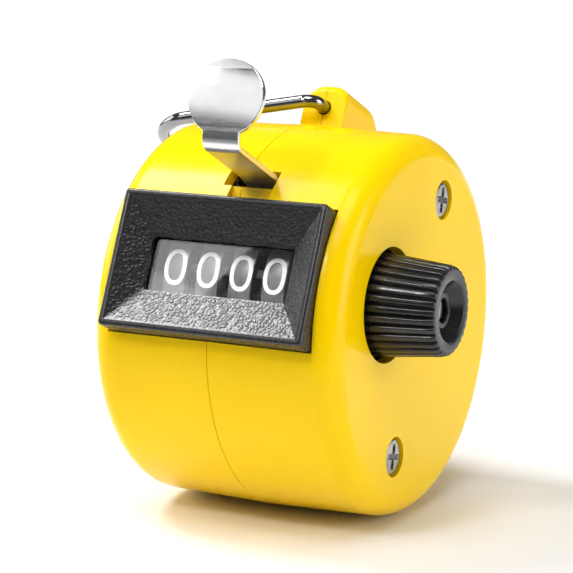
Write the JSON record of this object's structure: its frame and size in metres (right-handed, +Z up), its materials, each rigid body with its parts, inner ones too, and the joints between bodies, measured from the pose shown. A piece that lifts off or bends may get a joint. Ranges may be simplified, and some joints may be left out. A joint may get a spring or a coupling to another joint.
{
  "type": "hand tally counter",
  "caption": "Hand-held drum-shaped mechanical counter with a framed window, sprung thumb lever, fluted reset knob and a folding wire finger ring.",
  "frame": {"origin": "centre of the drum-shaped case, on the drum's axis and the case's parting plane", "axes": "+X along the drum's axis towards the reset knob, -Y towards the user, +Z up; the window faces -Y and leans back 25 degrees"},
  "size_m": [0.0475, 0.0484, 0.0559],
  "materials": {
    "case_plastic": "glossy moulded",
    "frame_plastic": "leather grain",
    "knob_plastic": "satin moulded",
    "wheel_plastic": "moulded, with light numerals",
    "gear_plastic": "moulded",
    "clear_plastic": "clear polished",
    "chromed_steel": "bright",
    "nickel_steel": "plated",
    "sheet_steel": "zinc plated",
    "brass": "stamped"
  },
  "bodies": {
    "case": {"left_case_shell": "case_plastic", "right_case_shell": "case_plastic", "window_bezel": "frame_plastic", "window_lens": "clear_plastic", "case_screw_upper": "nickel_steel", "case_screw_lower": "nickel_steel", "left_frame_plate": "sheet_steel", "right_frame_plate": "sheet_steel", "frame_rod_front": "nickel_steel", "frame_rod_lower": "nickel_steel", "frame_rod_rear": "nickel_steel", "pinion_shaft": "nickel_steel", "lever_pivot_pin": "nickel_steel", "shaft_spacer": "sheet_steel", "lever_return_spring": "nickel_steel", "ratchet_stop_spring": "nickel_steel"},
    "knob": {"reset_knob": "knob_plastic", "counter_shaft": "nickel_steel", "shaft_clip": "nickel_steel"},
    "units": {"units_wheel": "wheel_plastic", "ratchet_wheel": "brass"},
    "tens": {"tens_wheel": "wheel_plastic"},
    "hundreds": {"hundreds_wheel": "wheel_plastic"},
    "thousands": {"thousands_wheel": "wheel_plastic"},
    "tens_transfer": {"tens_pinion": "gear_plastic"},
    "hundreds_transfer": {"hundreds_pinion": "gear_plastic"},
    "thousands_transfer": {"thousands_pinion": "gear_plastic"},
    "lever": {"thumb_lever": "chromed_steel", "lever_hub": "nickel_steel", "pawl_pin": "nickel_steel", "pawl_spring": "nickel_steel"},
    "pawl": {"drive_pawl": "brass"},
    "ring": {"finger_ring": "chromed_steel"}
  },
  "joints": [
    {"name": "knob_turn", "type": "hinge", "parent": "case", "child": "knob", "pos_m": [0, -0.00853, 0.0042], "axis": [1, 0, 0], "continuous": true},
    {"name": "units_turn", "type": "hinge", "parent": "case", "child": "units", "pos_m": [0, -0.00853, 0.0042], "axis": [1, 0, 0], "continuous": true},
    {"name": "tens_turn", "type": "hinge", "parent": "case", "child": "tens", "pos_m": [0, -0.00853, 0.0042], "axis": [1, 0, 0], "continuous": true},
    {"name": "hundreds_turn", "type": "hinge", "parent": "case", "child": "hundreds", "pos_m": [0, -0.00853, 0.0042], "axis": [1, 0, 0], "continuous": true},
    {"name": "thousands_turn", "type": "hinge", "parent": "case", "child": "thousands", "pos_m": [0, -0.00853, 0.0042], "axis": [1, 0, 0], "continuous": true},
    {"name": "tens_transfer_turn", "type": "hinge", "parent": "case", "child": "tens_transfer", "pos_m": [0, 0.00235, -0.00088], "axis": [1, 0, 0], "continuous": true},
    {"name": "hundreds_transfer_turn", "type": "hinge", "parent": "case", "child": "hundreds_transfer", "pos_m": [0, 0.00235, -0.00088], "axis": [1, 0, 0], "continuous": true},
    {"name": "thousands_transfer_turn", "type": "hinge", "parent": "case", "child": "thousands_transfer", "pos_m": [0, 0.00235, -0.00088], "axis": [1, 0, 0], "continuous": true},
    {"name": "lever_press", "type": "hinge", "parent": "case", "child": "lever", "pos_m": [0, -0.00898, 0.01765], "axis": [1, 0, 0], "range_deg": [0, 12], "stiffness_Nm_per_rad": 0.04, "springref_deg": -20.05},
    {"name": "pawl_lift", "type": "hinge", "parent": "lever", "child": "pawl", "pos_m": [0, -0.01228, 0.00893], "axis": [1, 0, 0], "range_deg": [0, 8], "stiffness_Nm_per_rad": 0.00005, "springref_deg": -17.19},
    {"name": "ring_swing", "type": "hinge", "parent": "case", "child": "ring", "pos_m": [0, 0.01093, 0.02249], "axis": [0, 0.9063, -0.4226], "range_deg": [0, 202]}
  ],
  "couplings": [
    {"joint": "tens_turn", "follows": "units_turn", "ratio": 0.1},
    {"joint": "hundreds_turn", "follows": "units_turn", "ratio": 0.01},
    {"joint": "thousands_turn", "follows": "units_turn", "ratio": 0.001},
    {"joint": "tens_transfer_turn", "follows": "units_turn", "ratio": -0.25},
    {"joint": "hundreds_transfer_turn", "follows": "units_turn", "ratio": -0.025},
    {"joint": "thousands_transfer_turn", "follows": "units_turn", "ratio": -0.0025}
  ]
}
